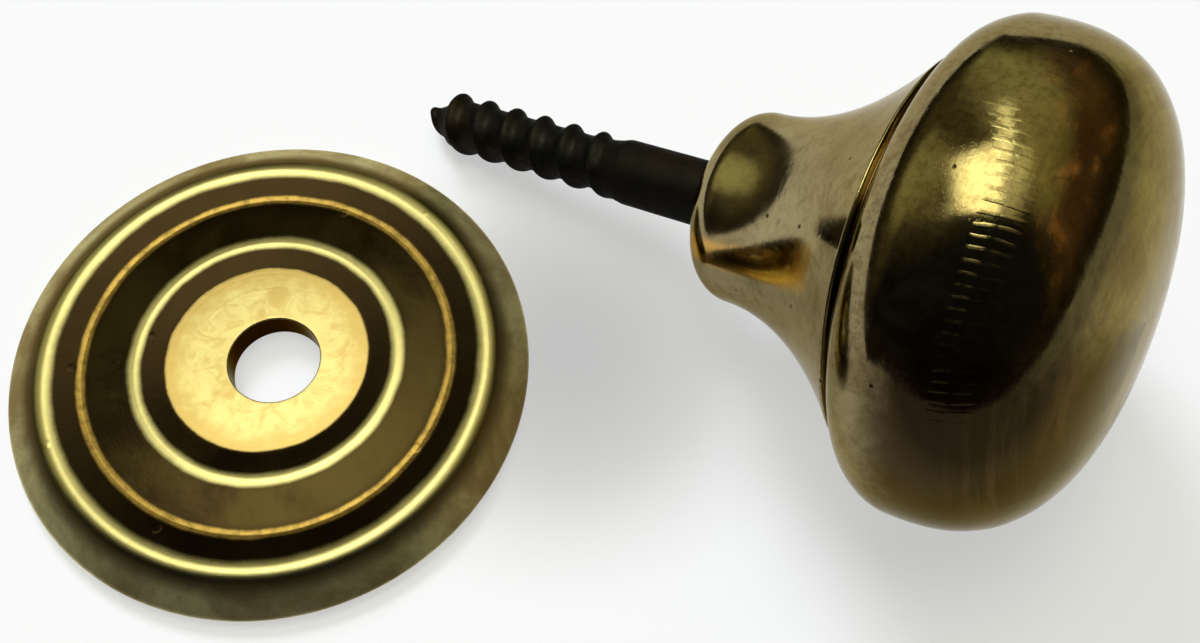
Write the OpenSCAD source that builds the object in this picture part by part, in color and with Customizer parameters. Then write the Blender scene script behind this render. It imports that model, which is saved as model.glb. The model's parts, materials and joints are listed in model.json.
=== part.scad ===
// Turned brass cabinet knob with a wood screw fixed in its neck, and the round backplate it is fixed through.
// The knob lies on its side, resting on the rim of its head and on the thread of its screw. The backplate lies
// face up beside the screw. Lengths are in millimetres, and the set lies on the plane z = 0.

/* [Head] */
// Diameter of the head at its widest circle
head_d = 32.8; // [30:0.1:45]
// Height of the domed front above the widest circle
dome_h = 10.6; // [7:0.1:16]
// Fullness of the dome's outline, where 2 is an ellipse
dome_fullness_share = 2.65; // [2:0.05:3.4]
// Length of the rounded back of the head, from the quirk to the widest circle
shoulder_h = 3.5; // [2.5:0.1:6]
// Fullness of the rounded back of the head, where 2 is an ellipse
shoulder_fullness_share = 1.8; // [1.4:0.1:2.4]

/* [Neck] */
// Diameter of the neck in front of its rounded foot
neck_d = 13.6; // [11:0.1:14.5]
// Diameter of the flare where it meets the quirk
flare_d = 26.7; // [20:0.1:28]
// Length of the neck and flare, from the foot to the quirk
neck_h = 14.2; // [10:0.1:20]
// Radius of the rounded edge of the foot
foot_round = 2.3; // [0.4:0.1:2.6]
// Width of the quirk, the narrow groove between the flare and the head
quirk_w = 0.7; // [0.4:0.1:1.2]
// Depth of the quirk below the edge of the flare
quirk_depth = 0.4; // [0.2:0.1:0.8]

/* [Screw] */
// Diameter of the plain shank
shank_d = 4.8; // [4.2:0.1:5.6]
// Length of plain shank between the neck and the thread
shank_h = 8.3; // [6:0.1:20]
// Length of the thread with its gimlet point
thread_h = 19.4; // [15:0.1:26]
// Distance from one turn of the thread to the next
thread_pitch = 2.75; // [2.4:0.05:3.2]
// Depth of the thread below its crests
thread_depth = 0.45; // [0.3:0.05:0.8]
// Sharpness of the thread's rounded crests
crest_sharpness_share = 2.4; // [1:0.1:3]
// How far the crests are worn below the plain shank
crest_wear = 0.03; // [0.03:0.01:0.2]
// How much prouder than that the crests stand on their less worn side, as a share of the thread's depth
crest_lean_share = 0.23; // [0:0.01:0.3]
// Direction of that side, in degrees round the shank
crest_lean_deg = 170; // [90:5:270]
// Direction in which the thread starts, in degrees round the shank
thread_start_deg = 174; // [0:1:359]
// Length over which the screw's core narrows to its point
point_h = 2.6; // [2:0.1:6]
// Diameter of the blunt end of the point
point_d = 0.4; // [0.4:0.1:1.2]
// Length over which the thread runs out towards the point
fade_h = 1.4; // [1:0.1:3]
// How suddenly the thread runs out there, where 1 is an even slope
fade_sharpness_share = 0.3; // [0.3:0.1:2]
// How far the point is bent to one side
point_bend = 0.5; // [0:0.1:1.4]
// Direction in which the point is bent, in degrees round the shank
point_bend_deg = 185; // [90:5:270]
// Length of the screw's thinner end that is seated in the neck
tang_h = 12; // [8:0.1:16]
// Diameter of that seated end
tang_d = 4; // [3.4:0.1:4]

/* [Backplate] */
// Diameter of the backplate
plate_d = 38; // [35:0.1:50]
// Height of the widest circle above the back
rim_h = 0.95; // [0.6:0.05:1.4]
// Diameter of the outer raised ring
outer_ring_d = 32; // [29:0.1:33]
// Height of the outer raised ring above the back
outer_ring_h = 2.75; // [2.5:0.05:3.5]
// Diameter of the groove between the two rings
groove_d = 26.8; // [23:0.1:28]
// Height of the bottom of the groove above the back
groove_h = 2.25; // [1.6:0.05:2.3]
// Diameter of the inner raised ring
inner_ring_d = 19; // [17:0.1:21]
// Height of the inner raised ring above the back
inner_ring_h = 2.55; // [2.4:0.05:3]
// Radius of the rounded crests of the two rings
ring_round = 1.4; // [0.6:0.05:1.6]
// Thickness of the plate at the flat seat of the neck
seat_t = 2.3; // [1.6:0.05:2.35]
// Clearance round the neck's foot inside the seat
seat_clear = 0.65; // [0.2:0.05:1]
// Diameter of the hole for the screw
hole_d = 6.7; // [6:0.1:8]
// How far the hole is drilled off centre
hole_off = 0.55; // [0:0.05:0.8]
// Direction in which the hole is off centre, in degrees
hole_off_deg = -20; // [-180:5:180]

/* [Layout] */
// Turn of the knob on the table, in degrees
knob_turn_deg = -31; // [-60:1:-10]
// Gap between the plate's rim and the screw, seen from above
plate_gap = 3.2; // [1:0.1:10]
// How far the plate's centre lies from the screw's end, along the knob
plate_along = 2.1; // [0:0.1:10]

/* [Hidden] */
$fn = 96;

// Clearance round the seated end of the screw
tang_gap = 0.02;
// Overrun that lets a cut pass a face
cut_over = 1;
// Depth to which the thread's core reaches into the plain shank
core_over = 0.5;
// Steps along a rounded stretch of an outline
round_steps = 14;
// Steps round the thread, and along one pitch of it
turn_steps = 36;
pitch_steps = 12;

head_r = head_d / 2;
neck_r = neck_d / 2;
flare_r = flare_d / 2;
shank_r = shank_d / 2;
tang_r = tang_d / 2;
crest_r = shank_r - crest_wear;
point_r = point_d / 2;
plate_r = plate_d / 2;
outer_ring_r = outer_ring_d / 2;
groove_r = groove_d / 2;
inner_ring_r = inner_ring_d / 2;
seat_r = neck_r + seat_clear;
hole_r = hole_d / 2;
quirk_end_h = neck_h + quirk_w;
widest_h = quirk_end_h + shoulder_h;
screw_h = shank_h + thread_h;

// Quarter of a superellipse from [0, b] round to [a, 0]
function quarter(a, b, fullness) = [for (i = [0 : round_steps]) let (t = 90 * i / round_steps)
    [a * pow(sin(t), 2 / fullness), b * pow(cos(t), 2 / fullness)]];
// Arc of a rounded crest about its middle, between the straight slopes that reach it from outside and from inside
function crest_arc(outside, middle, inside, radius) =
    let (
        out = outside - middle, in = inside - middle,
        first = atan2(out[1], out[0]) + acos(min(1, radius / norm(out))),
        last = atan2(in[1], in[0]) - acos(min(1, radius / norm(in)))
    )
    [for (i = [0 : round_steps]) let (t = first + (last - first) * i / round_steps)
        middle + radius * [cos(t), sin(t)]];

// Outline of the knob, as [radius, height above the foot]
foot_outline = [for (p = quarter(foot_round, foot_round, 2)) [neck_r - foot_round + p[0], foot_round - p[1]]];
flare_outline = [for (i = [1 : round_steps]) let (along = i / round_steps)
    [neck_r + (flare_r - neck_r) * pow(along, 2), foot_round + (neck_h - foot_round) * along]];
quirk_outline = [[flare_r - quirk_depth, neck_h + quirk_w / 2]];
shoulder_outline = [for (p = quarter(head_r - flare_r, shoulder_h, shoulder_fullness_share))
    [flare_r + p[0], widest_h - p[1]]];
dome_quarter = quarter(head_r, dome_h, dome_fullness_share);
dome_outline = [for (i = [round_steps - 1 : -1 : 0]) [dome_quarter[i][0], widest_h + dome_quarter[i][1]]];
knob_outline = concat([[0, 0]], foot_outline, flare_outline, quirk_outline, shoulder_outline, dome_outline);

// Outline of the backplate, as [radius, height above the back]
seat_edge = [seat_r, seat_t];
inner_middle = [inner_ring_r, inner_ring_h - ring_round];
groove_floor = [groove_r, groove_h];
outer_middle = [outer_ring_r, outer_ring_h - ring_round];
rim_edge = [plate_r, rim_h];
rim_lower = [for (p = quarter(rim_h, rim_h, 2)) [plate_r - rim_h + p[0], rim_h - p[1]]];
plate_outline = concat([[0, 0]], rim_lower, crest_arc(rim_edge, outer_middle, groove_floor, ring_round),
    [groove_floor], crest_arc(groove_floor, inner_middle, seat_edge, ring_round), [seat_edge, [0, seat_t]]);

// Radius of the thread's core at a distance along it, and of its crests
function core_at(along) =
    point_r + (crest_r - thread_depth - point_r) * min(1, max(0, thread_h - along) / point_h);
function crest_at(along) =
    core_at(along) + thread_depth * pow(min(1, max(0, thread_h - along) / fade_h), fade_sharpness_share);
// Share of the core's own form that is reached there, 0 where the thread leaves the shank
function cut_share(along) = max(0, min(1, along / thread_pitch));
// Share of the ridge's height that is left on each side of the thread
function lean_share(angle) = 1 + crest_lean_share * cos(angle - crest_lean_deg);
// Share of the ridge's height at a number of turns from a crest, 1 on the crest and 0 along the root
function ridge_share(turns) = pow((1 + cos(360 * turns)) / 2, crest_sharpness_share);
// Shift of the middle line towards the bent point
function bend_at(along) = point_bend * pow(max(0, 1 - (thread_h - along) / point_h), 2);

// Rings of points along the right-handed thread, from inside the shank to the point, in the knob's own axes
ring_count = ceil(thread_h / thread_pitch * pitch_steps);
ring_places = concat([-core_over], [for (i = [0 : ring_count]) thread_h * i / ring_count]);
thread_points = [for (along = ring_places, i = [0 : turn_steps - 1])
    let (
        angle = 360 * i / turn_steps, turns = along / thread_pitch + (angle - thread_start_deg) / 360,
        ridge = (crest_at(along) - core_at(along)) * ridge_share(turns) * lean_share(angle),
        cut_r = core_at(along) + ridge,
        r = crest_r + (cut_r - crest_r) * cut_share(along)
    )
    [r * cos(angle) + bend_at(along) * cos(point_bend_deg), r * sin(angle) + bend_at(along) * sin(point_bend_deg),
        -shank_h - along]];
function at(ring, i) = ring * turn_steps + i % turn_steps;
// Each patch between two rings is split along the thread's own slope
thread_faces = concat(
    [[for (i = [turn_steps - 1 : -1 : 0]) at(0, i)], [for (i = [0 : turn_steps - 1]) at(len(ring_places) - 1, i)]],
    [for (ring = [0 : len(ring_places) - 2], i = [0 : turn_steps - 1])
        [at(ring, i), at(ring, i + 1), at(ring + 1, i)]],
    [for (ring = [0 : len(ring_places) - 2], i = [0 : turn_steps - 1])
        [at(ring, i + 1), at(ring + 1, i + 1), at(ring + 1, i)]]);

// The knob leans until the head and the thread touch the same plane. Its own x axis is the one turned downwards.
function steepest(p) = max([for (q = knob_outline) if (q[1] > quirk_end_h) (q[0] - p[0]) / (q[1] - p[2])]);
knob_tilt = atan(min([for (p = thread_points) steepest(p)]));
knob_axis = [cos(knob_tilt) * cos(knob_turn_deg), cos(knob_tilt) * sin(knob_turn_deg), sin(knob_tilt)];
knob_down = [sin(knob_tilt) * cos(knob_turn_deg), sin(knob_tilt) * sin(knob_turn_deg), -cos(knob_tilt)];
knob_side = [-sin(knob_turn_deg), cos(knob_turn_deg), 0];

// Farthest reach of the knob and of the thread along a direction, from the middle of the foot
function knob_reach(v) = let (c = knob_axis * v) max([for (p = knob_outline) p[1] * c + p[0] * sqrt(1 - c * c)]);
function thread_reach(v) =
    let (a = knob_down * v, b = knob_side * v, c = knob_axis * v) max([for (p = thread_points) p * [a, b, c]]);

// Place of the plate's centre from the middle of the foot, seen from above
plate_at = (plate_along - screw_h * cos(knob_tilt)) * [cos(knob_turn_deg), sin(knob_turn_deg)]
    + (plate_r + shank_r + plate_gap) * [sin(knob_turn_deg), -cos(knob_turn_deg)];
// Farthest reach of the whole set along a direction in the plane
function set_reach(v) = max(knob_reach(v), thread_reach(v), plate_at * [v[0], v[1]] + plate_r);
// Middle of the set, which becomes the origin
set_mid = [set_reach([1, 0, 0]) - set_reach([-1, 0, 0]), set_reach([0, 1, 0]) - set_reach([0, -1, 0])] / 2;
foot_h = max(knob_reach([0, 0, -1]), thread_reach([0, 0, -1]));

// Turns a piece that stands on its foot into the knob's place on the table
module laid() {
    translate([-set_mid[0], -set_mid[1], foot_h]) rotate([0, 90 - knob_tilt, knob_turn_deg]) children();
}

// Brass head, flare and neck, turned in one piece, with the blind bore of the screw
module knob() {
    color("goldenrod") laid() difference() {
        rotate_extrude() polygon(knob_outline);
        translate([0, 0, -cut_over]) cylinder(r = tang_r + tang_gap, h = tang_h + cut_over);
    }
}

// Iron wood screw, seated in the neck, with a plain shank, a worn thread and a bent gimlet point
module screw() {
    color("dimgray") laid() union() {
        translate([0, 0, -shank_h]) cylinder(r = tang_r, h = shank_h + tang_h);
        translate([0, 0, -shank_h]) cylinder(r = shank_r, h = shank_h);
        polyhedron(points = thread_points, faces = thread_faces);
    }
}

// Turned brass plate with two raised rings, a flat seat for the foot of the neck and a hole drilled off centre
module backplate() {
    color("darkgoldenrod") translate([plate_at[0] - set_mid[0], plate_at[1] - set_mid[1], 0]) difference() {
        rotate_extrude() polygon(plate_outline);
        translate([hole_off * cos(hole_off_deg), hole_off * sin(hole_off_deg), -cut_over])
            cylinder(r = hole_r, h = seat_t + 2 * cut_over);
    }
}

knob();
screw();
backplate();
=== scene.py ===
"""Looks of a turned brass cabinet knob, its iron wood screw and its ringed backplate, lying on a pale table."""

import json
import logging
import math
from dataclasses import dataclass, field
from enum import Enum

import bpy
import numpy as np
from mathutils import Matrix, Vector


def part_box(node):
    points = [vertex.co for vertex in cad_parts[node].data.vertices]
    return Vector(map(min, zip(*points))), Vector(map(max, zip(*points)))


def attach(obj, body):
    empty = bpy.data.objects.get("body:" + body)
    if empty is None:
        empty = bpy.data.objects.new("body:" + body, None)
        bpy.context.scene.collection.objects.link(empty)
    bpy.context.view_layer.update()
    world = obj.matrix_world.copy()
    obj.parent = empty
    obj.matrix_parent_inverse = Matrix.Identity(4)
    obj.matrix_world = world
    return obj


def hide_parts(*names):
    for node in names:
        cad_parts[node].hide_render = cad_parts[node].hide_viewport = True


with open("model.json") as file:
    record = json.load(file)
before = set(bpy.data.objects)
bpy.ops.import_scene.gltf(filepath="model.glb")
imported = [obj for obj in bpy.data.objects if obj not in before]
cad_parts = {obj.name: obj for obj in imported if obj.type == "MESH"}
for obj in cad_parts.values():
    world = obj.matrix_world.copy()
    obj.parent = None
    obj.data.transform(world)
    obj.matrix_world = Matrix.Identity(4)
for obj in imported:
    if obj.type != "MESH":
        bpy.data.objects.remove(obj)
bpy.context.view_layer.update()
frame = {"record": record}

LOG = logging.getLogger("cabinet_knob")
MM = 0.001
TINY = 1e-12
SEED = 7
BLACK = (0.0, 0.0, 0.0)
WHITE = (1.0, 1.0, 1.0)

Points = np.ndarray
Colour = tuple[float, float, float]
Span = tuple[float, float]
Patch = tuple[float, float, float]
Socket = bpy.types.NodeSocket
Number = Socket | float
Paint = Socket | Colour


class Slot(Enum):
    """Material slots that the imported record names."""

    KNOB = "knob_brass"
    SCREW = "screw_iron"
    PLATE = "plate_brass"


class Ends(Enum):
    """How a skin over rings of points ends."""

    CAPPED = "a fan closes the first and the last ring"
    CENTRED = "a fan closes the first ring only"
    LOOPED = "the last ring joins the first"


# ---- outlines and meshes ----


def quarter(wide: float, high: float, fullness: float, steps: int) -> Points:
    """Quarter of a superellipse from (0, high) round to (wide, 0).

    Args:
        wide: Half width, in millimetres.
        high: Half height, in millimetres.
        fullness: Exponent, where 2 is an ellipse.
        steps: Number of stretches along the quarter.

    Returns:
        The points, one row each.
    """
    turn = np.linspace(0, math.pi / 2, steps + 1)
    return np.stack([wide * np.sin(turn) ** (2 / fullness), high * np.cos(turn) ** (2 / fullness)], 1)


def rounded(line: Points, radii: dict[int, float], steps: int = 10) -> Points:
    """Line with some of its corners replaced by arcs.

    Args:
        line: Corner points, one row each.
        radii: Arc radius in millimetres for each corner's row.
        steps: Number of stretches along an arc.

    Returns:
        The points of the eased line.
    """
    eased: list[Points] = []
    for row, corner in enumerate(line):
        if row not in radii:
            eased.append(corner[None])
            continue
        before, after = line[row - 1] - corner, line[row + 1] - corner
        before, after = before / np.linalg.norm(before), after / np.linalg.norm(after)
        half = math.acos(float(np.clip(before @ after, -1, 1))) / 2
        middle = corner + (before + after) / np.linalg.norm(before + after) * radii[row] / math.sin(half)
        reach = radii[row] / math.tan(half)
        start, end = corner + before * reach - middle, corner + after * reach - middle
        sweep = math.pi - 2 * half
        part = np.linspace(0, sweep, steps + 1)[:, None]
        eased.append(middle + (start * np.sin(sweep - part) + end * np.sin(part)) / math.sin(sweep))
    return np.concatenate(eased)


def resampled(line: Points, step: float) -> Points:
    """Line with its long stretches split.

    Args:
        line: Points, one row each.
        step: Longest stretch that is left, in millimetres.

    Returns:
        The points of the split line.
    """
    rows = [line[:1]]
    for start, end in zip(line[:-1], line[1:]):
        count = max(1, math.ceil(float(np.linalg.norm(end - start)) / step))
        rows.append(start + (end - start) * (np.arange(1, count + 1) / count)[:, None])
    return np.concatenate(rows)


def ring_mesh(name: str, rings: Points, ends: Ends, place: Matrix) -> bpy.types.Object:
    """Skin over rings of points, shaded by the skin's own slopes.

    The piece's own coordinates stay with its points as the attribute "lathe", in metres.

    Args:
        name: Name of the piece.
        rings: Points in millimetres, shaped (rings, points round, 3).
        ends: How the skin ends.
        place: Matrix from the piece's own axes to the shared frame.

    Returns:
        The new object, linked to the scene.
    """
    count, around = rings.shape[:2]
    looped = ends is Ends.LOOPED
    along = np.roll(rings, -1, axis=0) - np.roll(rings, 1, axis=0) if looped else np.gradient(rings, axis=0)
    across = np.roll(rings, -1, axis=1) - np.roll(rings, 1, axis=1)
    normals = np.cross(across, along)
    normals = normals / np.maximum(np.linalg.norm(normals, axis=2, keepdims=True), TINY)
    vertices, directions = rings.reshape(-1, 3), normals.reshape(-1, 3)
    index = np.arange(count * around).reshape(count, around)
    if looped:
        index = np.concatenate([index, index[:1]])
    beside = np.roll(index, -1, axis=1)
    faces = np.stack([index[:-1], beside[:-1], beside[1:], index[1:]], 2).reshape(-1, 4).tolist()
    fans = {Ends.CAPPED: ((0, 1), (count - 1, count - 2)), Ends.CENTRED: ((0, 1),), Ends.LOOPED: ()}
    for ring, next_ring in fans[ends]:
        middle = rings[ring].mean(axis=0)
        outward = middle - rings[next_ring].mean(axis=0)
        hub = len(vertices)
        vertices = np.concatenate([vertices, middle[None]])
        directions = np.concatenate([directions, (outward / max(np.linalg.norm(outward), TINY))[None]])
        first, second = (beside, index) if ring == 0 else (index, beside)
        faces += [[int(one), int(other), hub] for one, other in zip(first[ring], second[ring])]
    own = vertices * MM
    move = np.array(place)
    mesh = bpy.data.meshes.new(name)
    mesh.from_pydata((own @ move[:3, :3].T + move[:3, 3]).tolist(), [], faces)
    mesh.update()
    mesh.shade_smooth()
    mesh.attributes.new("lathe", "FLOAT_VECTOR", "POINT").data.foreach_set("vector", own.astype(np.float32).ravel())
    mesh.normals_split_custom_set_from_vertices((directions @ move[:3, :3].T).tolist())
    piece = bpy.data.objects.new(name, mesh)
    bpy.context.scene.collection.objects.link(piece)
    return piece


def turned(outline: Points, around: int) -> Points:
    """Rings of a lathe-turned skin.

    Args:
        outline: Rows of radius and height.
        around: Number of points in each ring.

    Returns:
        The rings, shaped (rows, around, 3).
    """
    angle = np.arange(around) * 2 * math.pi / around
    circle = np.stack([np.cos(angle), np.sin(angle)], 1)
    rings = np.zeros((len(outline), around, 3))
    rings[..., :2] = outline[:, None, :1] * circle[None]
    rings[..., 2] = outline[:, None, 1]
    return rings


# ---- shader nodes ----


@dataclass(frozen=True)
class Spot:
    """Where a point of a piece lies, in metres, with its distance from the axis and its height in millimetres."""

    place: Socket
    x: Socket
    y: Socket
    z: Socket
    radius: Socket
    height: Socket


class Board:
    """Adds nodes to one node tree and joins them. A share is a number from 0 to 1."""

    def __init__(self, tree: bpy.types.NodeTree) -> None:
        """Starts on an emptied tree."""
        self.tree = tree
        tree.nodes.clear()

    def node(self, kind: str, **settings: object) -> bpy.types.Node:
        """Adds a node.

        Args:
            kind: Its type.
            **settings: Its own settings.

        Returns:
            The node.
        """
        made = self.tree.nodes.new(kind)
        for key, value in settings.items():
            setattr(made, key, value)
        return made

    def put(self, socket: Socket, value: object) -> None:
        """Sets an input, or joins it to an output.

        Args:
            socket: The input.
            value: A number, a colour or an output.
        """
        if isinstance(value, bpy.types.NodeSocket):
            self.tree.links.new(value, socket)
        elif isinstance(value, tuple) and socket.type == "RGBA":
            socket.default_value = (*value, 1.0)
        else:
            socket.default_value = value

    def maths(self, kind: str, *values: Number) -> Socket:
        """Adds a Math node.

        Args:
            kind: Its operation.
            *values: Its inputs, up to three.

        Returns:
            Its output.
        """
        made = self.node("ShaderNodeMath", operation=kind)
        for socket, value in zip(made.inputs, values):
            self.put(socket, value)
        return made.outputs[0]

    def times(self, first: Number, second: Number) -> Socket:
        """First times second."""
        return self.maths("MULTIPLY", first, second)

    def plus(self, first: Number, second: Number) -> Socket:
        """First plus second."""
        return self.maths("ADD", first, second)

    def minus(self, first: Number, second: Number) -> Socket:
        """First minus second."""
        return self.maths("SUBTRACT", first, second)

    def over(self, first: Number, second: Number) -> Socket:
        """First divided by second."""
        return self.maths("DIVIDE", first, second)

    def larger(self, first: Number, second: Number) -> Socket:
        """The larger of two numbers."""
        return self.maths("MAXIMUM", first, second)

    def smaller(self, first: Number, second: Number) -> Socket:
        """The smaller of two numbers."""
        return self.maths("MINIMUM", first, second)

    def rest(self, share: Number) -> Socket:
        """What a share leaves of 1."""
        return self.minus(1.0, share)

    def rise(self, value: Number, low: float, high: float) -> Socket:
        """Share that grows smoothly with a value.

        Args:
            value: The value.
            low: Where the share is 0.
            high: Where it is 1.

        Returns:
            The share.
        """
        made = self.node("ShaderNodeMapRange", interpolation_type="SMOOTHSTEP")
        self.put(made.inputs["Value"], value)
        made.inputs["From Min"].default_value = low
        made.inputs["From Max"].default_value = high
        return made.outputs["Result"]

    def fall(self, value: Number, low: float, high: float) -> Socket:
        """Share that shrinks smoothly from 1 at low to 0 at high."""
        return self.rest(self.rise(value, low, high))

    def hump(self, value: Number, middle: float, half: float, soft: float) -> Socket:
        """Share that is 1 within half of the middle and falls to 0 over soft more."""
        return self.fall(self.maths("ABSOLUTE", self.minus(value, middle)), half, half + soft)

    def blend(self, share: Number, first: Paint, second: Paint) -> Socket:
        """Colour mixed from two.

        Args:
            share: Share of the second.
            first: First colour.
            second: Second colour.

        Returns:
            The mixed colour.
        """
        made = self.node("ShaderNodeMix", data_type="RGBA")
        for socket, value in zip((made.inputs[0], made.inputs[6], made.inputs[7]), (share, first, second)):
            self.put(socket, value)
        return made.outputs[2]

    def between(self, share: Number, first: Number, second: Number) -> Socket:
        """Number mixed from two.

        Args:
            share: Share of the second.
            first: First number.
            second: Second number.

        Returns:
            The mixed number.
        """
        made = self.node("ShaderNodeMix", data_type="FLOAT")
        for socket, value in zip((made.inputs[0], made.inputs[2], made.inputs[3]), (share, first, second)):
            self.put(socket, value)
        return made.outputs[0]

    def noise(self, place: Socket, size: float, detail: float = 3.0, rough: float = 0.5, warp: float = 0.0) -> Socket:
        """Noise in patches.

        Args:
            place: Coordinates in metres.
            size: Width of the patches, in millimetres.
            detail: Number of finer layers.
            rough: Strength of the finer layers.
            warp: Distortion of the patches.

        Returns:
            The noise, about 0.5 on average.
        """
        made = self.node("ShaderNodeTexNoise")
        self.put(made.inputs["Vector"], place)
        made.inputs["Scale"].default_value = 1.0 / (size * MM)
        made.inputs["Detail"].default_value = detail
        made.inputs["Roughness"].default_value = rough
        made.inputs["Distortion"].default_value = warp
        return made.outputs[0]

    def swing(self, noise: Socket, width: float) -> Socket:
        """Noise as a swing to both sides of 0, at most half the width each way."""
        return self.times(self.minus(noise, 0.5), width)

    def specks(self, place: Socket, size: float, share: float) -> Socket:
        """Small round specks.

        Args:
            place: Coordinates in metres.
            size: Width of the cells that hold one speck each, in millimetres.
            share: Radius of a speck, as a share of its cell.

        Returns:
            Share of speck at each point.
        """
        made = self.node("ShaderNodeTexVoronoi")
        self.put(made.inputs["Vector"], place)
        made.inputs["Scale"].default_value = 1.0 / (size * MM)
        return self.fall(made.outputs["Distance"], share * 0.5, share)

    def parts(self, vector: Socket) -> tuple[Socket, Socket, Socket]:
        """The three parts of a vector."""
        made = self.node("ShaderNodeSeparateXYZ")
        self.put(made.inputs[0], vector)
        return made.outputs[0], made.outputs[1], made.outputs[2]

    def vector(self, *parts: Number) -> Socket:
        """A vector from three numbers."""
        made = self.node("ShaderNodeCombineXYZ")
        for socket, value in zip(made.inputs, parts):
            self.put(socket, value)
        return made.outputs[0]

    def spot(self) -> Spot:
        """Where the shaded point lies in its piece's own axes.

        Returns:
            The point's coordinates.
        """
        place = self.node("ShaderNodeAttribute", attribute_name="lathe").outputs["Vector"]
        x, y, z = self.parts(place)
        reach = self.maths("SQRT", self.plus(self.times(x, x), self.times(y, y)))
        return Spot(place, x, y, z, self.times(reach, 1 / MM), self.times(z, 1 / MM))

    def bump(self, height: Socket, depth: float, under: Socket | None = None) -> Socket:
        """Normal tilted by a relief.

        Args:
            height: The relief, as a share of its depth.
            depth: The relief's depth, in millimetres.
            under: Normal of another relief below this one.

        Returns:
            The tilted normal.
        """
        made = self.node("ShaderNodeBump")
        made.inputs["Strength"].default_value = 1.0
        made.inputs["Distance"].default_value = depth * MM
        self.put(made.inputs["Height"], height)
        if under is not None:
            self.put(made.inputs["Normal"], under)
        return made.outputs[0]

    def surface(self, kind: str, shader: Socket) -> None:
        """Ends the tree in a shader.

        Args:
            kind: Type of the output node.
            shader: The shader's output.
        """
        self.put(self.node(kind).inputs["Surface"], shader)

    def metal(self, colour: Socket, roughness: Socket, normal: Socket, edge: Colour) -> None:
        """Ends the tree in a metal.

        Args:
            colour: Colour of its reflections.
            roughness: Their softness.
            normal: The tilted normal.
            edge: Tint of the reflections at a slant.
        """
        shader = self.node("ShaderNodeBsdfPrincipled")
        shader.inputs["Metallic"].default_value = 1.0
        self.put(shader.inputs["Specular Tint"], edge)
        self.put(shader.inputs["Base Color"], colour)
        self.put(shader.inputs["Roughness"], roughness)
        self.put(shader.inputs["Normal"], normal)
        self.surface("ShaderNodeOutputMaterial", shader.outputs[0])


def new_material(name: str) -> tuple[bpy.types.Material, Board]:
    """A material with an empty tree, and the board that fills it."""
    material = bpy.data.materials.new(name)
    material.use_nodes = True
    return material, Board(material.node_tree)


# ---- finishes ----


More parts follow.
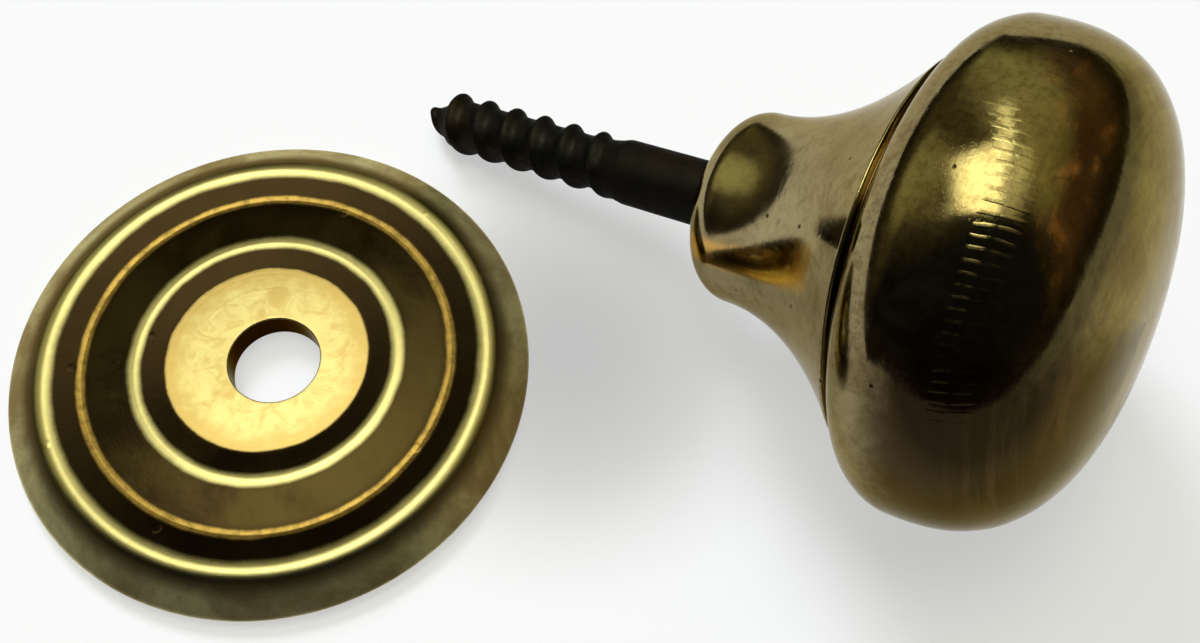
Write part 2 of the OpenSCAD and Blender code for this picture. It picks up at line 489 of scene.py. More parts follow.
@dataclass(frozen=True)
class KnobBrass:
    """Polished brass of the knob under a thin khaki oxide, with smears, hairlines, pits and a row of chatter marks,
    and with painted light: a dark reflection of the shaded table low on the head and an orange glint under the neck.

    Heights and radii are in millimetres, and sides in degrees round the axis from the table. A span is where one
    finish gives way to the next, and a patch has a middle, a half width and a soft edge. Depths are in millimetres.
    """

    golden: Colour = (0.3, 0.245, 0.078)
    beige: Colour = (0.33, 0.275, 0.145)
    olive: Colour = (0.26, 0.215, 0.108)
    khaki: Colour = (0.2, 0.155, 0.07)
    brown: Colour = (0.12, 0.075, 0.03)
    # Painted shade: dark brown reflection of the shaded table, low on the head's side.
    reflected_shade: Colour = (0.038, 0.023, 0.0105)
    # Painted glint: orange reflection of the backplate under the neck.
    orange: Colour = (0.6, 0.35, 0.09)
    groove: Colour = (0.13, 0.088, 0.036)
    grime: Colour = (0.02, 0.013, 0.006)
    edge: Colour = (0.7, 0.64, 0.5)
    gloss: float = 0.085
    smear: float = 0.22
    foot_haze: float = 0.03
    spot_haze: float = 0.3
    tick_haze: float = 0.22
    head_from: Span = (14.5, 17.5)
    dome_from: Span = (18.5, 23.0)
    dome_within: Span = (14.6, 16.2)
    grains_from: Span = (12.5, 16.0)
    # Painted shade: heights and side of the dark reflection low on the head.
    shade_patch_from: Span = (16.0, 20.5)
    shade_patch_side: Patch = (-100.0, 18.0, 34.0)
    # Painted glint: side, heights and drift of the orange reflection under the neck.
    glint_side: Patch = (-114.0, 5.0, 6.0)
    glint_to: Span = (10.6, 12.2)
    glint_straight: float = 4.0
    glint_drift: float = 2.4
    haze_to: Span = (5.0, 12.0)
    ticks_height: float = 22.95
    ticks_bend_from: float = -165.0
    ticks_bend_over: float = 14.0
    ticks_drop: float = 2.25
    ticks_pace: float = 2.6
    ticks_to: Span = (-128.0, -100.0)
    wave_depth: float = 0.04
    turning_depth: float = 0.008
    hairline_depth: float = 0.0012
    tick_depth: float = 0.0095
    pit_depth: float = 0.03

    def material(self, knob: "Knob") -> bpy.types.Material:
        """Makes the material.

        Args:
            knob: The knob, whose sizes place the grime in the quirk.

        Returns:
            The material.
        """
        material, b = new_material("knob_brass")
        at = b.spot()
        angle = b.maths("ARCTAN2", at.y, at.x)
        turn = b.times(angle, 180 / math.pi)
        fine = b.noise(at.place, 0.9, 5, 0.7)
        dome = b.times(b.rise(at.height, *self.dome_from), b.fall(at.radius, *self.dome_within))
        spots = b.times(b.specks(at.place, 2.6, 0.06), b.rest(b.times(dome, 0.9)))
        ticks = self._ticks(b, at, turn, fine)
        colour = self._patches(b, at, dome, fine)
        colour = self._shade_rings_and_glint(b, at, turn, colour, dome, angle)
        colour = b.blend(b.times(spots, 0.8), colour, self.grime)
        quirk = b.hump(at.height, knob.neck_h + knob.quirk_w / 2, 0.16, 0.16)
        quirk = b.times(quirk, b.fall(at.radius, knob.flare_r - 0.22, knob.flare_r - 0.06))
        colour = b.blend(quirk, colour, self.groove)
        rough = b.between(b.rise(b.noise(at.place, 5, 5, 0.7, 1.2), 0.42, 0.75), self.gloss, self.smear)
        rough = b.plus(rough, b.times(b.fall(at.height, *self.haze_to), self.foot_haze))
        rough = b.plus(rough, b.times(spots, self.spot_haze))
        rough = b.plus(rough, b.times(ticks, self.tick_haze))
        normal = b.bump(b.noise(at.place, 8, 2, 0.5), self.wave_depth)
        normal = b.bump(self._turning(b, at, angle), self.turning_depth, normal)
        normal = b.bump(self._hairlines(b, at), self.hairline_depth, normal)
        normal = b.bump(ticks, self.tick_depth, normal)
        normal = b.bump(b.times(spots, -1.0), self.pit_depth, normal)
        b.metal(colour, rough, normal, self.edge)
        return material

    def _patches(self, b: Board, at: Spot, dome: Socket, fine: Socket) -> Socket:
        """Brass under thin oxide, in patches and fine grains.

        Args:
            b: The material's board.
            at: The shaded point.
            dome: Share of the dome's front.
            fine: Fine noise.

        Returns:
            The colour.
        """
        wide = b.noise(at.place, 9, 5, 0.62, 0.6)
        colour = b.blend(b.rise(at.height, *self.head_from), self.beige, self.olive)
        colour = b.blend(dome, colour, self.golden)
        colour = b.blend(b.times(b.rise(wide, 0.4, 0.66), 0.8), colour, self.khaki)
        colour = b.blend(b.times(b.rise(fine, 0.45, 0.72), 0.4), colour, self.brown)
        grains = b.times(b.rise(b.noise(at.place, 0.5, 4, 0.75), 0.47, 0.62), b.rise(wide, 0.3, 0.5))
        grains = b.times(grains, b.between(b.rise(at.height, *self.grains_from), 0.15, 0.55))
        grains = b.times(grains, b.between(dome, 1.0, 0.35))
        colour = b.blend(grains, colour, self.brown)
        stains = b.rise(b.noise(at.place, 4.5, 5, 0.7, 1.5), 0.56, 0.7)
        return b.blend(b.times(stains, 0.55), colour, self.brown)

    def _shade_rings_and_glint(self, b: Board, at: Spot, turn: Socket, colour: Socket, dome: Socket, angle: Socket) -> Socket:
        """Painted dark reflection of the shaded table low on the head, brown rings on the dome and a painted orange
        glint, the backplate's reflection, under the neck.

        Args:
            b: The material's board.
            at: The shaded point.
            turn: The point's side, in degrees.
            colour: The brass without them.
            dome: Share of the dome's front.
            angle: The point's side, in radians.

        Returns:
            The colour.
        """
        ragged = b.swing(b.noise(at.place, 3.0, 5, 0.7, 1.0), 40.0)
        # Painted shade: dark reflection of the shaded table, low on the head's side.
        shade_patch = b.hump(b.plus(turn, ragged), *self.shade_patch_side)
        shade_patch = b.times(shade_patch, b.rise(b.plus(at.height, b.times(ragged, 0.08)), *self.shade_patch_from))
        colour = b.blend(b.times(shade_patch, 0.95), colour, self.reflected_shade)
        rings = b.rise(b.noise(b.vector(b.times(angle, 0.0008), 0.3, at.z), 0.9, 5, 0.75), 0.44, 0.62)
        colour = b.blend(b.times(b.times(rings, dome), 0.45), colour, self.brown)
        # Painted glint: orange reflection of the backplate on the underside of the neck.
        past = b.larger(b.minus(at.height, self.glint_straight), 0.0)
        drift = b.plus(turn, b.times(past, self.glint_drift))
        glint = b.hump(b.plus(drift, b.times(ragged, 0.12)), *self.glint_side)
        glint = b.times(glint, b.fall(at.height, *self.glint_to))
        return b.blend(b.times(glint, 0.78), colour, self.orange)

    def _turning(self, b: Board, at: Spot, angle: Socket) -> Socket:
        """Lines that the lathe and the polishing left round the axis.

        Args:
            b: The material's board.
            at: The shaded point.
            angle: The point's side, in radians.

        Returns:
            The lines' height, from 0 to 1.
        """
        slow = b.times(angle, 0.0012)
        wide, narrow = b.vector(slow, 0.0, at.z), b.vector(slow, 0.5, at.z)
        return b.between(0.35, b.noise(wide, 0.9, 2, 0.5), b.noise(narrow, 0.25, 3, 0.6))

    def _hairlines(self, b: Board, at: Spot) -> Socket:
        """Thin scratches at a few slants.

        Args:
            b: The material's board.
            at: The shaded point.

        Returns:
            The scratches' height, from 0 to 1.
        """
        total: Number = 0.0
        for turn, stretch in ((0.5, 16.0), (1.4, 24.0), (2.4, 12.0), (2.9, 30.0)):
            slanted = b.node("ShaderNodeMapping")
            b.put(slanted.inputs["Vector"], at.place)
            slanted.inputs["Rotation"].default_value = (turn, 0.7 * turn, turn * 1.7)
            slanted.inputs["Scale"].default_value = (1.0, stretch, stretch)
            total = b.larger(total, b.rise(b.noise(slanted.outputs[0], 9, 2, 0.5), 0.62, 0.7))
        return total

    def _ticks(self, b: Board, at: Spot, turn: Socket, fine: Socket) -> Socket:
        """Chatter marks: two broken rows of short ticks that run part of the way round the dome.

        Args:
            b: The material's board.
            at: The shaded point.
            turn: The point's side, in degrees.
            fine: Fine noise that breaks the rows.

        Returns:
            The ticks' height, from 0 to 1.
        """
        past = b.larger(b.over(b.minus(self.ticks_bend_from, turn), self.ticks_bend_over), 0.0)
        drop = b.times(b.maths("POWER", past, 1.5), self.ticks_drop)
        row = b.minus(at.height, b.minus(self.ticks_height, drop))
        phase = b.plus(b.times(turn, self.ticks_pace), b.times(b.noise(at.place, 3.0, 2), 7.0))
        ticks = b.rise(b.maths("SINE", b.plus(phase, b.times(row, 0.9))), 0.3, 1.0)
        rows = b.larger(b.hump(row, -0.5, 0.3, 0.35), b.times(b.hump(row, 0.7, 0.35, 0.4), 0.6))
        reach = b.times(b.fall(turn, *self.ticks_to), b.rise(fine, 0.25, 0.5))
        return b.times(b.times(ticks, rows), reach)


@dataclass(frozen=True)
class PlateBrass:
    """Antique brass of the backplate: brown between its rings, rubbed bright on them, with a satin seat, and painted
    shade on the outer ring's outer slope.

    Spans and patches are in millimetres from the ring, groove or seat that they belong to.
    """

    brass: Colour = (0.8, 0.74, 0.42)
    brown: Colour = (0.43, 0.34, 0.17)
    # Painted shade on the outer ring's outer slope, towards the rim.
    slope_shade: Colour = (0.13, 0.09, 0.042)
    dark: Colour = (0.013, 0.008, 0.0038)
    olive: Colour = (0.027, 0.0185, 0.007)
    rubbed: Colour = (0.45, 0.39, 0.2)
    orange: Colour = (0.23, 0.145, 0.042)
    seat: Colour = (0.49, 0.405, 0.21)
    seat_orange: Colour = (0.38, 0.26, 0.1)
    edge: Colour = (0.6, 0.5, 0.36)
    gloss: float = 0.2
    cloudy: float = 0.3
    worn: float = 0.32
    satin: float = 0.36
    matt: float = 0.42
    # Painted shade: how far out from the outer ring it reaches.
    slope_shade_to: Span = (1.0, 2.1)
    patina_to: Span = (0.45, 1.1)
    olive_patch: Patch = (0.0, 0.9, 1.2)
    outer_crest: Patch = (0.05, 0.2, 0.7)
    inner_crest: Patch = (0.05, 0.1, 0.55)
    groove_line: Patch = (0.0, 0.15, 0.3)
    seat_to: Span = (-0.25, 0.02)
    seat_border: Span = (-2.4, -0.3)
    wave_depth: float = 0.03
    dent_depth: float = 0.02
    grain_depth: float = 0.008
    turning_depth: float = 0.006

    def material(self, plate: "Backplate") -> bpy.types.Material:
        """Makes the material.

        Args:
            plate: The backplate, whose ring sizes place the bright bands.

        Returns:
            The material.
        """
        material, b = new_material("plate_brass")
        at = b.spot()
        wide = b.noise(at.place, 7, 5, 0.62, 0.5)
        fine = b.noise(at.place, 0.7, 5, 0.7)
        far = b.plus(at.radius, b.swing(b.noise(at.place, 2.5, 4, 0.6), 0.3))
        from_outer, from_inner = b.minus(far, plate.outer_ring_r), b.minus(far, plate.inner_ring_r)
        from_groove, from_seat = b.minus(far, plate.groove_r), b.minus(far, plate.seat_r)
        inside = b.fall(from_outer, *self.patina_to)
        crest = b.larger(b.hump(from_outer, *self.outer_crest), b.hump(from_inner, *self.inner_crest))
        line = b.hump(from_groove, *self.groove_line)
        bare = b.blend(b.rise(wide, 0.38, 0.66), self.brass, self.brown)
        bare = b.blend(b.times(b.rise(fine, 0.48, 0.72), 0.4), bare, self.brown)
        # Painted shade: darker umber on the outer ring's outer slope.
        bare = b.blend(b.times(b.fall(from_outer, *self.slope_shade_to), 0.9), bare, self.slope_shade)
        middle = b.hump(b.minus(far, (plate.groove_r + plate.inner_ring_r) / 2), *self.olive_patch)
        patina = b.blend(b.times(middle, b.rise(wide, 0.3, 0.6)), self.dark, self.olive)
        colour = b.blend(inside, bare, patina)
        colour = b.blend(b.times(crest, b.between(fine, 1.0, 0.7)), colour, self.rubbed)
        colour = b.blend(b.times(line, b.between(b.rise(fine, 0.4, 0.7), 1.0, 0.45)), colour, self.orange)
        seat = b.times(b.fall(from_seat, *self.seat_to), b.rise(at.height, plate.seat_t - 0.2, plate.seat_t - 0.06))
        colour = b.blend(seat, colour, self._seat(b, at, from_seat))
        wall = b.fall(at.height, plate.seat_t - 0.12, plate.seat_t - 0.03)
        wall = b.times(wall, b.fall(at.radius, plate.seat_r - 0.8, plate.seat_r - 0.5))
        colour = b.blend(wall, colour, self.dark)
        rough = b.between(b.rise(wide, 0.35, 0.75), self.gloss, self.cloudy)
        rough = b.between(inside, self.matt, rough)
        rough = b.between(b.larger(crest, line), rough, self.worn)
        rough = b.between(seat, rough, self.satin)
        turning = b.noise(b.vector(b.times(at.radius, MM), 0.0, 0.0), 0.3, 3, 0.6)
        normal = b.bump(fine, self.grain_depth)
        normal = b.bump(turning, self.turning_depth, normal)
        normal = b.bump(b.noise(at.place, 6, 2), self.wave_depth, normal)
        normal = b.bump(b.specks(at.place, 3.7, 0.12), self.dent_depth, normal)
        b.metal(colour, rough, normal, self.edge)
        return material

    def _seat(self, b: Board, at: Spot, from_seat: Socket) -> Socket:
        """Mottled brass of the seat, with an orange border and dark pits.

        Args:
            b: The material's board.
            at: The shaded point.
            from_seat: Distance out from the seat's edge, in millimetres.

        Returns:
            The colour.
        """
        rub = b.rise(b.noise(at.place, 1.6, 5, 0.72, 0.8), 0.4, 0.66)
        ragged = b.plus(from_seat, b.swing(b.noise(at.place, 1.1, 4, 0.7), 3.0))
        border = b.times(b.rise(ragged, *self.seat_border), 0.9)
        mottled = b.blend(b.larger(b.times(rub, 0.8), border), self.seat, self.seat_orange)
        return b.blend(b.times(b.specks(at.place, 1.3, 0.1), 0.6), mottled, self.brown)


@dataclass(frozen=True)
class ScrewIron:
    """Dark oxidised iron of the screw, nearly black, with brown rust in its valleys. Depths are in millimetres."""

    black: Colour = (0.018, 0.017, 0.016)
    brown: Colour = (0.028, 0.021, 0.017)
    worn: Colour = (0.06, 0.056, 0.05)
    edge: Colour = (0.5, 0.5, 0.5)
    smooth: float = 0.42
    rough: float = 0.68
    scale_depth: float = 0.06
    grain_depth: float = 0.03

    def material(self) -> bpy.types.Material:
        """Makes the material.

        Returns:
            The material.
        """
        material, b = new_material("screw_iron")
        at = b.spot()
        wide = b.noise(at.place, 3.0, 4, 0.6)
        fine = b.noise(at.place, 0.45, 5, 0.7)
        colour = b.blend(b.rise(wide, 0.45, 0.7), self.black, self.brown)
        colour = b.blend(b.times(b.rise(fine, 0.55, 0.8), 0.5), colour, self.worn)
        rough = b.between(b.rise(fine, 0.3, 0.7), self.smooth, self.rough)
        normal = b.bump(fine, self.grain_depth, b.bump(wide, self.scale_depth))
        b.metal(colour, rough, normal, self.edge)
        return material


@dataclass(frozen=True)
class TableWhite:
    """Matt white table top that also shows its own paleness to the camera and in reflections.

    Shade is painted into it on the viewer's side and far to the east. Distances are in millimetres from the
    backplate.
    """

    colour: Colour = (0.3, 0.307, 0.37)
    lift: float = 0.53
    shade: float = 0.4
    front_reach: float = 30.0
    front_corner: float = 58.0
    front_bend: float = 30.0
    front_span: Span = (-34.0, 10.0)
    east_lean: Span = (0.9, 0.43)
    east_span: Span = (45.0, 210.0)

    def material(self, lay: "Lay") -> bpy.types.Material:
        """Makes the material.

        Args:
            lay: Where the backplate lies.

        Returns:
            The material.
        """
        material, b = new_material("table_white")
        place = b.node("ShaderNodeAttribute", attribute_name="lathe").outputs["Vector"]
        x, y, _ = b.parts(place)
        east = b.minus(b.times(x, 1 / MM), lay.plate_centre.x / MM)
        north = b.minus(b.times(y, 1 / MM), lay.plate_centre.y / MM)
        # Painted shadow: the table's colour and glow darken towards the viewer's side and far to the east.
        edge = b.maths("SMOOTH_MAX", b.minus(self.front_corner, east), self.front_reach, self.front_bend)
        past = b.minus(b.times(east, self.east_lean[0]), b.times(north, self.east_lean[1]))
        lit = b.times(b.rise(b.plus(north, edge), *self.front_span), b.fall(past, *self.east_span))
        bright = b.between(lit, self.shade, 1.0)
        matt = b.node("ShaderNodeBsdfDiffuse")
        b.put(matt.inputs["Color"], b.blend(bright, BLACK, self.colour))
        glow = b.node("ShaderNodeEmission")
        b.put(glow.inputs["Color"], b.blend(bright, BLACK, WHITE))
        path = b.node("ShaderNodeLightPath").outputs
        seen = b.larger(b.larger(path["Is Camera Ray"], path["Is Glossy Ray"]), path["Is Transmission Ray"])
        b.put(glow.inputs["Strength"], b.times(seen, self.lift))
        both = b.node("ShaderNodeAddShader")
        b.put(both.inputs[0], matt.outputs[0])
        b.put(both.inputs[1], glow.outputs[0])
        b.surface("ShaderNodeOutputMaterial", both.outputs[0])
        return material


# ---- pieces ----


@dataclass
class Lay:
    """Where the knob and its backplate lie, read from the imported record's mounts and the backplate's box."""

    foot: Vector = field(init=False)
    axis: Vector = field(init=False)
    plate_centre: Vector = field(init=False)

    def __post_init__(self) -> None:
        """Reads the shank's mount and the backplate's box."""
        mounts = {mount["name"]: mount for mount in frame["record"]["mounts"]}
        shank = mounts["screw_shank"]
        self.axis = -Vector(shank["axis"]).normalized()
        half_shank = shank["dims"]["length_mm"] * MM / 2
        self.foot = Vector(shank["pos_m"]) + self.axis * half_shank
        low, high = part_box("backplate")
        self.plate_centre = Vector(((low.x + high.x) / 2, (low.y + high.y) / 2, 0.0))

    def knob_place(self) -> Matrix:
        """Where the knob's own axes lie, with z from foot to dome and x turned towards the table.

        Returns:
            The matrix to the shared frame.
        """
        flat = Vector((self.axis.x, self.axis.y, 0.0)).normalized()
        side = Vector((-flat.y, flat.x, 0.0))
        down = side.cross(self.axis)
        turn = Matrix((down, side, self.axis)).transposed()
        return Matrix.Translation(self.foot) @ turn.to_4x4()


@dataclass
class Knob:
    """The turned brass knob: foot, neck, flare, quirk and head. Sizes are in millimetres."""

    head_r: float = 16.4
    dome_h: float = 10.6
    dome_fullness: float = 2.65
    shoulder_h: float = 3.5
    shoulder_fullness: float = 1.8
    neck_r: float = 6.8
    flare_r: float = 13.35
    neck_h: float = 14.2
    foot_round: float = 2.3
    quirk_w: float = 0.7
    quirk_depth: float = 0.4
    quirk_round: float = 0.06
    edge_round: float = 0.12
    bore_r: float = 2.42
    around: int = 288
    step: float = 0.3

    def outline(self) -> Points:
        """Outline from the screw's edge round to the middle of the dome.

        Returns:
            Rows of radius and height.
        """
        foot = quarter(self.foot_round, self.foot_round, 2, 24)
        foot = np.stack([self.neck_r - self.foot_round + foot[:, 0], self.foot_round - foot[:, 1]], 1)
        along = np.linspace(0, 1, 61)[1:]
        flare = np.stack([
            self.neck_r + (self.flare_r - self.neck_r) * along**2,
            self.foot_round + (self.neck_h - self.foot_round) * along,
        ], 1)
        quirk = np.array([[self.flare_r - self.quirk_depth, self.neck_h + self.quirk_w / 2]])
        widest = self.neck_h + self.quirk_w + self.shoulder_h
        shoulder = quarter(self.head_r - self.flare_r, self.shoulder_h, self.shoulder_fullness, 48)
        shoulder = np.stack([self.flare_r + shoulder[:, 0], widest - shoulder[:, 1]], 1)
        dome = quarter(self.head_r, self.dome_h, self.dome_fullness, 120)[-2::-1]
        dome = np.stack([dome[:, 0], widest + dome[:, 1]], 1)
        start = np.array([[self.bore_r, 0.0]])
        line = np.concatenate([start, foot, flare, quirk, shoulder, dome])
        edge = len(start) + len(foot) + len(flare) - 1
        line = rounded(line, {edge: self.edge_round, edge + 1: self.quirk_round})
        off_axis = line[:, 0] > 0.004
        return resampled(line[off_axis], self.step)

    def build(self, lay: Lay, finish: KnobBrass) -> bpy.types.Object:
        """Builds the knob in its place and dresses it.

        Args:
            lay: Where the knob lies.
            finish: Its brass.

        Returns:
            The piece.
        """
        piece = ring_mesh("brass_knob", turned(self.outline(), self.around), Ends.CAPPED, lay.knob_place())
        piece.data.materials.append(finish.material(self))
        return piece


@dataclass
class Screw:
    """The iron wood screw: plain shank, worn right-handed thread and bent gimlet point. Sizes are in millimetres."""

    shank_r: float = 2.4
    shank_h: float = 8.3
    thread_h: float = 19.4
    pitch: float = 2.75
    depth: float = 0.45
    crest_wear: float = 0.03
    uneven_wear: float = 0.01
    lean: float = 0.23
    lean_turn: float = math.radians(170)
    sharpness: float = 2.4
    start: float = math.radians(174)
    point_h: float = 2.6
    point_r: float = 0.2
    fade_h: float = 1.4
    fade_sharpness: float = 0.3
    bend: float = 0.5
    bend_turn: float = math.radians(185)
    hidden_h: float = 1.0
    around: int = 120
    step: float = 0.07
    shank_step: float = 0.25

    def rings(self) -> Points:
        """Rings of points from inside the neck down to the point, in the knob's own axes.

        Returns:
            The rings, shaped (rings, points round, 3).
        """
        crest_r = self.shank_r - self.crest_wear
        shank = np.arange(-self.hidden_h, self.shank_h, self.shank_step) - self.shank_h
        thread = np.arange(0.0, self.thread_h, self.step)
        tip = np.array([self.thread_h])
        along = np.concatenate([shank, thread, tip])[:, None]
        angle = np.arange(self.around)[None] * 2 * math.pi / self.around
        left = np.maximum(0, self.thread_h - along)
        core = self.point_r + (crest_r - self.depth - self.point_r) * np.minimum(1, left / self.point_h)
        crest = core + self.depth * np.minimum(1, left / self.fade_h) ** self.fade_sharpness
        turns = along / self.pitch + (angle - self.start) / (2 * math.pi)
        ridge = ((1 + np.cos(2 * math.pi * turns)) / 2) ** self.sharpness
        cut = core + (crest - core) * ridge * (1 + self.lean * np.cos(angle - self.lean_turn))
        share = np.clip(along / self.pitch, 0, 1)
        radius = self.shank_r + (cut - self.shank_r) * share
        radius = radius - self._wear(along, angle, ridge * share)
        shift = self.bend * np.maximum(0, 1 - left / self.point_h) ** 2
        return np.stack([
            radius * np.cos(angle) + shift * math.cos(self.bend_turn),
            radius * np.sin(angle) + shift * math.sin(self.bend_turn),
            np.broadcast_to(-self.shank_h - along, radius.shape),
        ], 2)

    def _wear(self, along: Points, angle: Points, ridge: Points) -> Points:
        """Uneven loss, most of it on the crests.

        Args:
            along: Depth below the shank's end, in millimetres.
            angle: Angle round the screw.
            ridge: Share of crest at each point.

        Returns:
            The loss of radius, in millimetres.
        """
        draws = np.random.default_rng(SEED)
        loss = np.zeros(np.broadcast(along, angle).shape)
        for _ in range(6):
            pace, count, phase = draws.uniform(0.5, 2.2), draws.integers(1, 5), draws.uniform(0, 2 * math.pi, 2)
            loss += 0.5 + 0.5 * np.sin(along * pace + phase[0]) * np.cos(count * angle + phase[1])
        return self.uneven_wear * loss * (0.3 + 0.7 * ridge)

    def build(self, lay: Lay, finish: ScrewIron) -> bpy.types.Object:
        """Builds the screw in its place and dresses it.

        Args:
            lay: Where the knob lies.
            finish: Its iron.

        Returns:
            The piece.
        """
        upwards = self.rings()[::-1]
        piece = ring_mesh("wood_screw", upwards, Ends.CAPPED, lay.knob_place())
        piece.data.materials.append(finish.material())
        return piece


@dataclass
class Backplate:
    """The turned brass backplate: rim, two raised rings, groove, seat and hole. Sizes are in millimetres."""

    plate_r: float = 19.0
    rim_h: float = 0.95
    outer_ring_r: float = 16.0
    outer_ring_h: float = 2.75
    groove_r: float = 13.4
    groove_h: float = 2.25
    inner_ring_r: float = 9.5
    inner_ring_h: float = 2.55
    ring_round: float = 1.4
    groove_round: float = 0.6
    seat_r: float = 7.45
    seat_t: float = 2.3
    hole_r: float = 3.35
    hole_off: float = 0.55
    hole_turn: float = math.radians(-20)
    hole_round: float = 0.1
    around: int = 320
    step: float = 0.25

    def outline(self) -> Points:
        """Outline from the back's edge over the rim and rings to the seat's edge.

        Returns:
            Rows of radius and height.
        """
        lower = quarter(self.rim_h, self.rim_h, 2, 16)
        lower = np.stack([self.plate_r - self.rim_h + lower[:, 0], self.rim_h - lower[:, 1]], 1)
        floor = np.array([self.groove_r, self.groove_h])
        edge = np.array([self.seat_r, self.seat_t])
        outer = self._crest(lower[-1], self.outer_ring_r, self.outer_ring_h, floor)
        inner = self._crest(floor, self.inner_ring_r, self.inner_ring_h, edge)
        line = np.concatenate([lower, outer, floor[None], inner, edge[None]])
        return resampled(rounded(line, {len(lower) + len(outer): self.groove_round}), self.step)

    def _crest(self, outside: Points, radius: float, top: float, inside: Points) -> Points:
        """Rounded crest of a ring between the straight slopes on both sides of it.

        Args:
            outside: Radius and height where the outer slope starts.
            radius: The ring's radius, in millimetres.
            top: Height of its crest, in millimetres.
            inside: Radius and height where the inner slope ends.

        Returns:
            Rows of radius and height.
        """
        middle = np.array([radius, top - self.ring_round])
        out, within = outside - middle, inside - middle
        first = math.atan2(out[1], out[0]) + math.acos(self.ring_round / float(np.linalg.norm(out)))
        last = math.atan2(within[1], within[0]) - math.acos(self.ring_round / float(np.linalg.norm(within)))
        turn = np.linspace(first, last, 33)
        return middle + self.ring_round * np.stack([np.cos(turn), np.sin(turn)], 1)

    def rings(self) -> Points:
        """Rings of points over the whole plate: the back, the front, and down the hole's wall to the back again.

        Returns:
            The rings, shaped (rings, points round, 3).
        """
        skin = turned(self.outline(), self.around)
        angle = np.arange(self.around) * 2 * math.pi / self.around
        hole = np.stack([
            self.hole_off * math.cos(self.hole_turn) + self.hole_r * np.cos(angle),
            self.hole_off * math.sin(self.hole_turn) + self.hole_r * np.sin(angle),
            np.zeros(self.around),
        ], 1)
        soft = np.stack([np.cos(angle), np.sin(angle), np.zeros(self.around)], 1) * self.hole_round
        lifted = np.array([0.0, 0.0, 1.0])
        low: list[Points] = []
        high: list[Points] = []
        for turn in np.linspace(0, math.pi / 2, 6):
            low.append(hole + soft * (1 - math.sin(turn)) + lifted * self.hole_round * (1 - math.cos(turn)))
            height = self.seat_t - self.hole_round * (1 - math.sin(turn))
            high.append(hole + soft * (1 - math.cos(turn)) + lifted * height)
        back = self._between(low[0], skin[0], 14)
        seat = self._between(skin[-1], high[-1], 24)
        wall = self._between(high[0], low[-1], 6)
        return np.stack([*back, *skin[1:], *seat, *high[-2::-1], *wall, *low[-2::-1]])

    def _between(self, first: Points, last: Points, count: int) -> list[Points]:
        """Rings spaced evenly from one ring to another, without the first."""
        return [first + (last - first) * share for share in np.linspace(0, 1, count + 1)[1:]]

    def build(self, lay: Lay, finish: PlateBrass) -> bpy.types.Object:
        """Builds the backplate in its place and dresses it.

        Args:
            lay: Where the plate lies.
            finish: Its brass.

        Returns:
            The piece.
        """
        piece = ring_mesh("brass_backplate", self.rings(), Ends.LOOPED, Matrix.Translation(lay.plate_centre))
        piece.data.materials.append(finish.material(self))
        return piece


# ---- studio ----


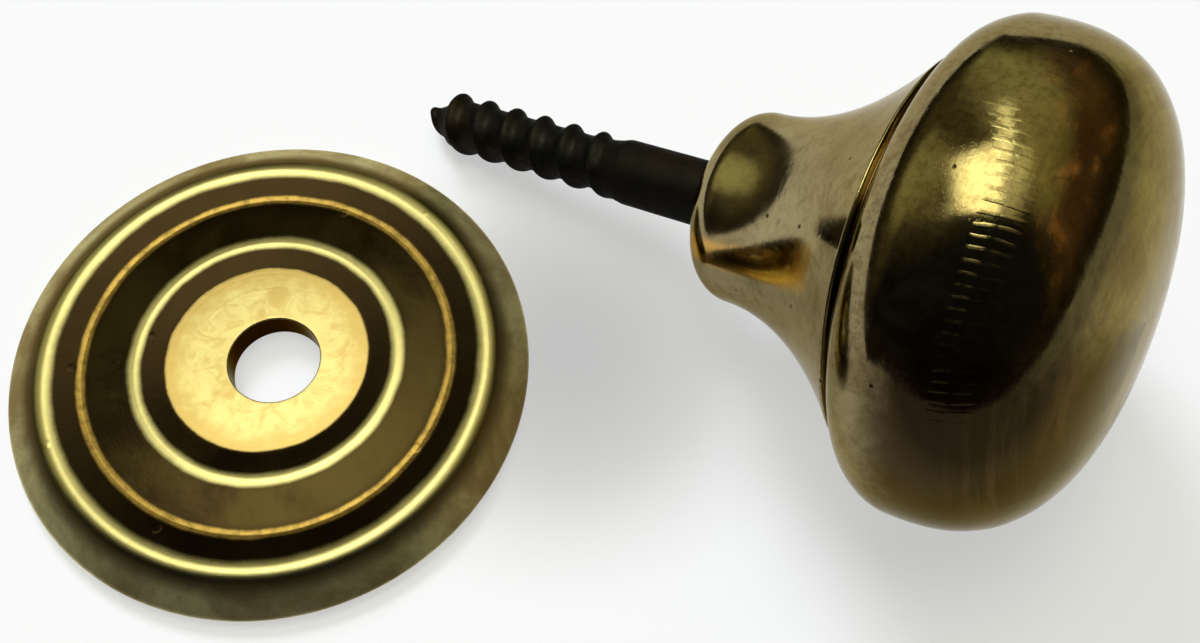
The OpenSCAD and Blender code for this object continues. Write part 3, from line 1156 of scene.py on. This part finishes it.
@dataclass(frozen=True)
class Room:
    """Dark room over the table: a slanted window overhead, an olive glow beside it, brown walls and a soft lamp.

    Across and away are how far east and north a direction goes for each step up. A pane has its west side, its east
    side and its far side.
    """

    window: Colour = (6.3, 6.5, 4.4)
    glow: Colour = (0.78, 0.79, 0.36)
    brown: Colour = (0.13, 0.08, 0.042)
    streak: Colour = (0.6, 0.3, 0.11)
    dark: Colour = (0.018, 0.02, 0.019)
    west_wall: Colour = (0.14, 0.12, 0.06)
    lamp: Colour = (0.62, 0.62, 0.3)
    horizon: Colour = (0.04, 0.031, 0.019)
    lamp_direction: Colour = (-0.673, 0.389, 0.629)
    lamp_spread: Span = (0.9, 0.99)
    horizon_to: Span = (0.06, 0.34)
    bright_pane: tuple[Span, Span, Span] = ((-0.58, -0.27), (0.0, 0.16), (0.34, 0.56))
    dim_pane: tuple[Span, Span, Span] = ((-0.1, 0.05), (0.24, 0.5), (0.2, 0.42))
    dim_share: float = 0.2
    tail_across: Patch = (0.06, 0.05, 0.06)
    tail_away: Patch = (0.6, 0.35, 0.15)
    tail_share: float = 0.45
    sill_away: float = 0.15
    sill_slant: float = 0.29
    sill_span: Span = (-0.015, 0.03)

    def build(self) -> None:
        """Makes the world."""
        world = bpy.data.worlds.new("room")
        world.use_nodes = True
        bpy.context.scene.world = world
        b = Board(world.node_tree)
        look = b.node("ShaderNodeTexCoord").outputs["Generated"]
        x, y, z = b.parts(look)
        upwards = b.larger(z, 0.02)
        across, away = b.over(x, upwards), b.over(y, upwards)
        streaks = b.noise(b.vector(x, y, b.times(z, 0.3)), 160, 3, 0.6)
        brown = b.blend(b.rise(streaks, 0.5, 0.66), self.brown, self.streak)
        east = b.rise(b.smaller(x, b.plus(y, b.times(x, 0.6))), -0.1, 0.3)
        colour = b.blend(east, self.dark, brown)
        west = b.times(b.rise(b.minus(b.times(y, 0.7), x), 0.05, 0.5), b.rise(y, -0.35, 0.1))
        colour = b.blend(west, colour, self.west_wall)
        glow = b.times(b.rise(x, -0.25, 0.15), b.fall(across, 0.3, 1.5))
        glow = b.times(glow, b.rise(b.plus(y, b.times(x, 0.45)), -0.08, 0.25))
        colour = b.blend(b.times(glow, 0.75), colour, self.glow)
        lamp = b.node("ShaderNodeVectorMath", operation="DOT_PRODUCT")
        b.put(lamp.inputs[0], look)
        lamp.inputs[1].default_value = self.lamp_direction
        colour = b.blend(b.rise(lamp.outputs["Value"], *self.lamp_spread), colour, self.lamp)
        colour = b.blend(b.rise(z, *self.horizon_to), self.horizon, colour)
        window = b.times(self._window(b, across, away), b.rise(z, 0.1, 0.3))
        colour = b.blend(window, colour, self.window)
        shine = b.node("ShaderNodeBackground")
        b.put(shine.inputs["Color"], colour)
        b.surface("ShaderNodeOutputWorld", shine.outputs[0])

    def _window(self, b: Board, across: Socket, away: Socket) -> Socket:
        """Window of a bright pane, a dimmer one and a narrow tail, cut off below along one slanted sill.

        Args:
            b: The world's board.
            across: How far east the direction goes.
            away: How far north it goes.

        Returns:
            Share of window in each direction.
        """
        bright = self._pane(b, across, away, self.bright_pane)
        dim = self._pane(b, across, away, self.dim_pane)
        tail = b.times(b.hump(across, *self.tail_across), b.hump(away, *self.tail_away))
        panes = b.larger(bright, b.larger(b.times(dim, self.dim_share), b.times(tail, self.tail_share)))
        sill = b.plus(away, b.plus(self.sill_away, b.times(across, self.sill_slant)))
        return b.times(panes, b.rise(sill, *self.sill_span))

    def _pane(self, b: Board, across: Socket, away: Socket, sides: tuple[Span, Span, Span]) -> Socket:
        """Share of one pane in each direction, from its west, east and far sides."""
        wide = b.times(b.rise(across, *sides[0]), b.fall(across, *sides[1]))
        return b.times(wide, b.fall(away, *sides[2]))


@dataclass
class Studio:
    """Pale table, dark room with a window over it, soft key light for the table, and the camera."""

    camera_offset_mm: tuple[float, float, float] = (24.256, -41.283, 90.523)
    elevation_deg: float = 63.395
    lens_mm: float = 36 * 1337.0 / 1200
    clip_m: Span = (0.005, 20.0)
    table_reach_m: Span = (0.02, 3.0)
    table_drop_mm: float = 0.005
    key_bearing_deg: float = -22.0
    key_height_deg: float = 40.0
    key_spread_deg: float = 22.0
    key_strength: float = 3.3

    def camera(self, lay: Lay) -> None:
        """Places the camera over the backplate, looking along +Y and down.

        Args:
            lay: Where the backplate lies.
        """
        data = bpy.data.cameras.new("camera")
        data.lens = self.lens_mm
        data.clip_start, data.clip_end = self.clip_m
        eye = bpy.data.objects.new("camera", data)
        eye.location = lay.plate_centre + Vector(self.camera_offset_mm) * MM
        eye.rotation_euler = (math.radians(90 - self.elevation_deg), 0, 0)
        bpy.context.scene.collection.objects.link(eye)
        bpy.context.scene.camera = eye

    def table(self, lay: Lay) -> None:
        """Lays a wide round table top, just clear of the pieces.

        Args:
            lay: Where the backplate lies.
        """
        reach = np.geomspace(*self.table_reach_m, 24) / MM
        outline = np.stack([reach, 0 * reach - self.table_drop_mm], 1)
        floor = ring_mesh("table", turned(outline, 96), Ends.CENTRED, Matrix.Identity(4))
        floor.data.flip_normals()
        floor.data.materials.append(TableWhite().material(lay))

    def key(self) -> None:
        """Hangs a soft key light for the table, beyond it and to the left, that reflections don't show."""
        data = bpy.data.lights.new("key", "SUN")
        data.energy = self.key_strength
        data.angle = math.radians(self.key_spread_deg)
        lamp = bpy.data.objects.new("key", data)
        lamp.visible_glossy = False
        lamp.rotation_euler = (math.radians(self.key_height_deg - 90), 0, math.radians(-self.key_bearing_deg))
        bpy.context.scene.collection.objects.link(lamp)

    def build(self, lay: Lay) -> None:
        """Sets up the whole studio.

        Args:
            lay: Where the pieces lie.
        """
        self.camera(lay)
        self.table(lay)
        self.key()
        Room().build()
        bpy.context.scene.view_settings.view_transform = "Standard"


def join(piece: bpy.types.Object, node: str) -> None:
    """Makes a piece ride on the body and stand for its CAD node.

    Args:
        piece: The visible piece.
        node: The CAD node that it replaces.
    """
    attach(piece, "root")
    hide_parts(node)
    LOG.info("%s: %d vertices", piece.name, len(piece.data.vertices))


def main() -> None:
    """Builds the studio and the three pieces."""
    logging.basicConfig(level=logging.INFO, format="%(message)s")
    lay = Lay()
    Studio().build(lay)
    join(Knob().build(lay, KnobBrass()), "knob")
    join(Screw().build(lay, ScrewIron()), "screw")
    join(Backplate().build(lay, PlateBrass()), "backplate")


if __name__ == "__main__":
    main()
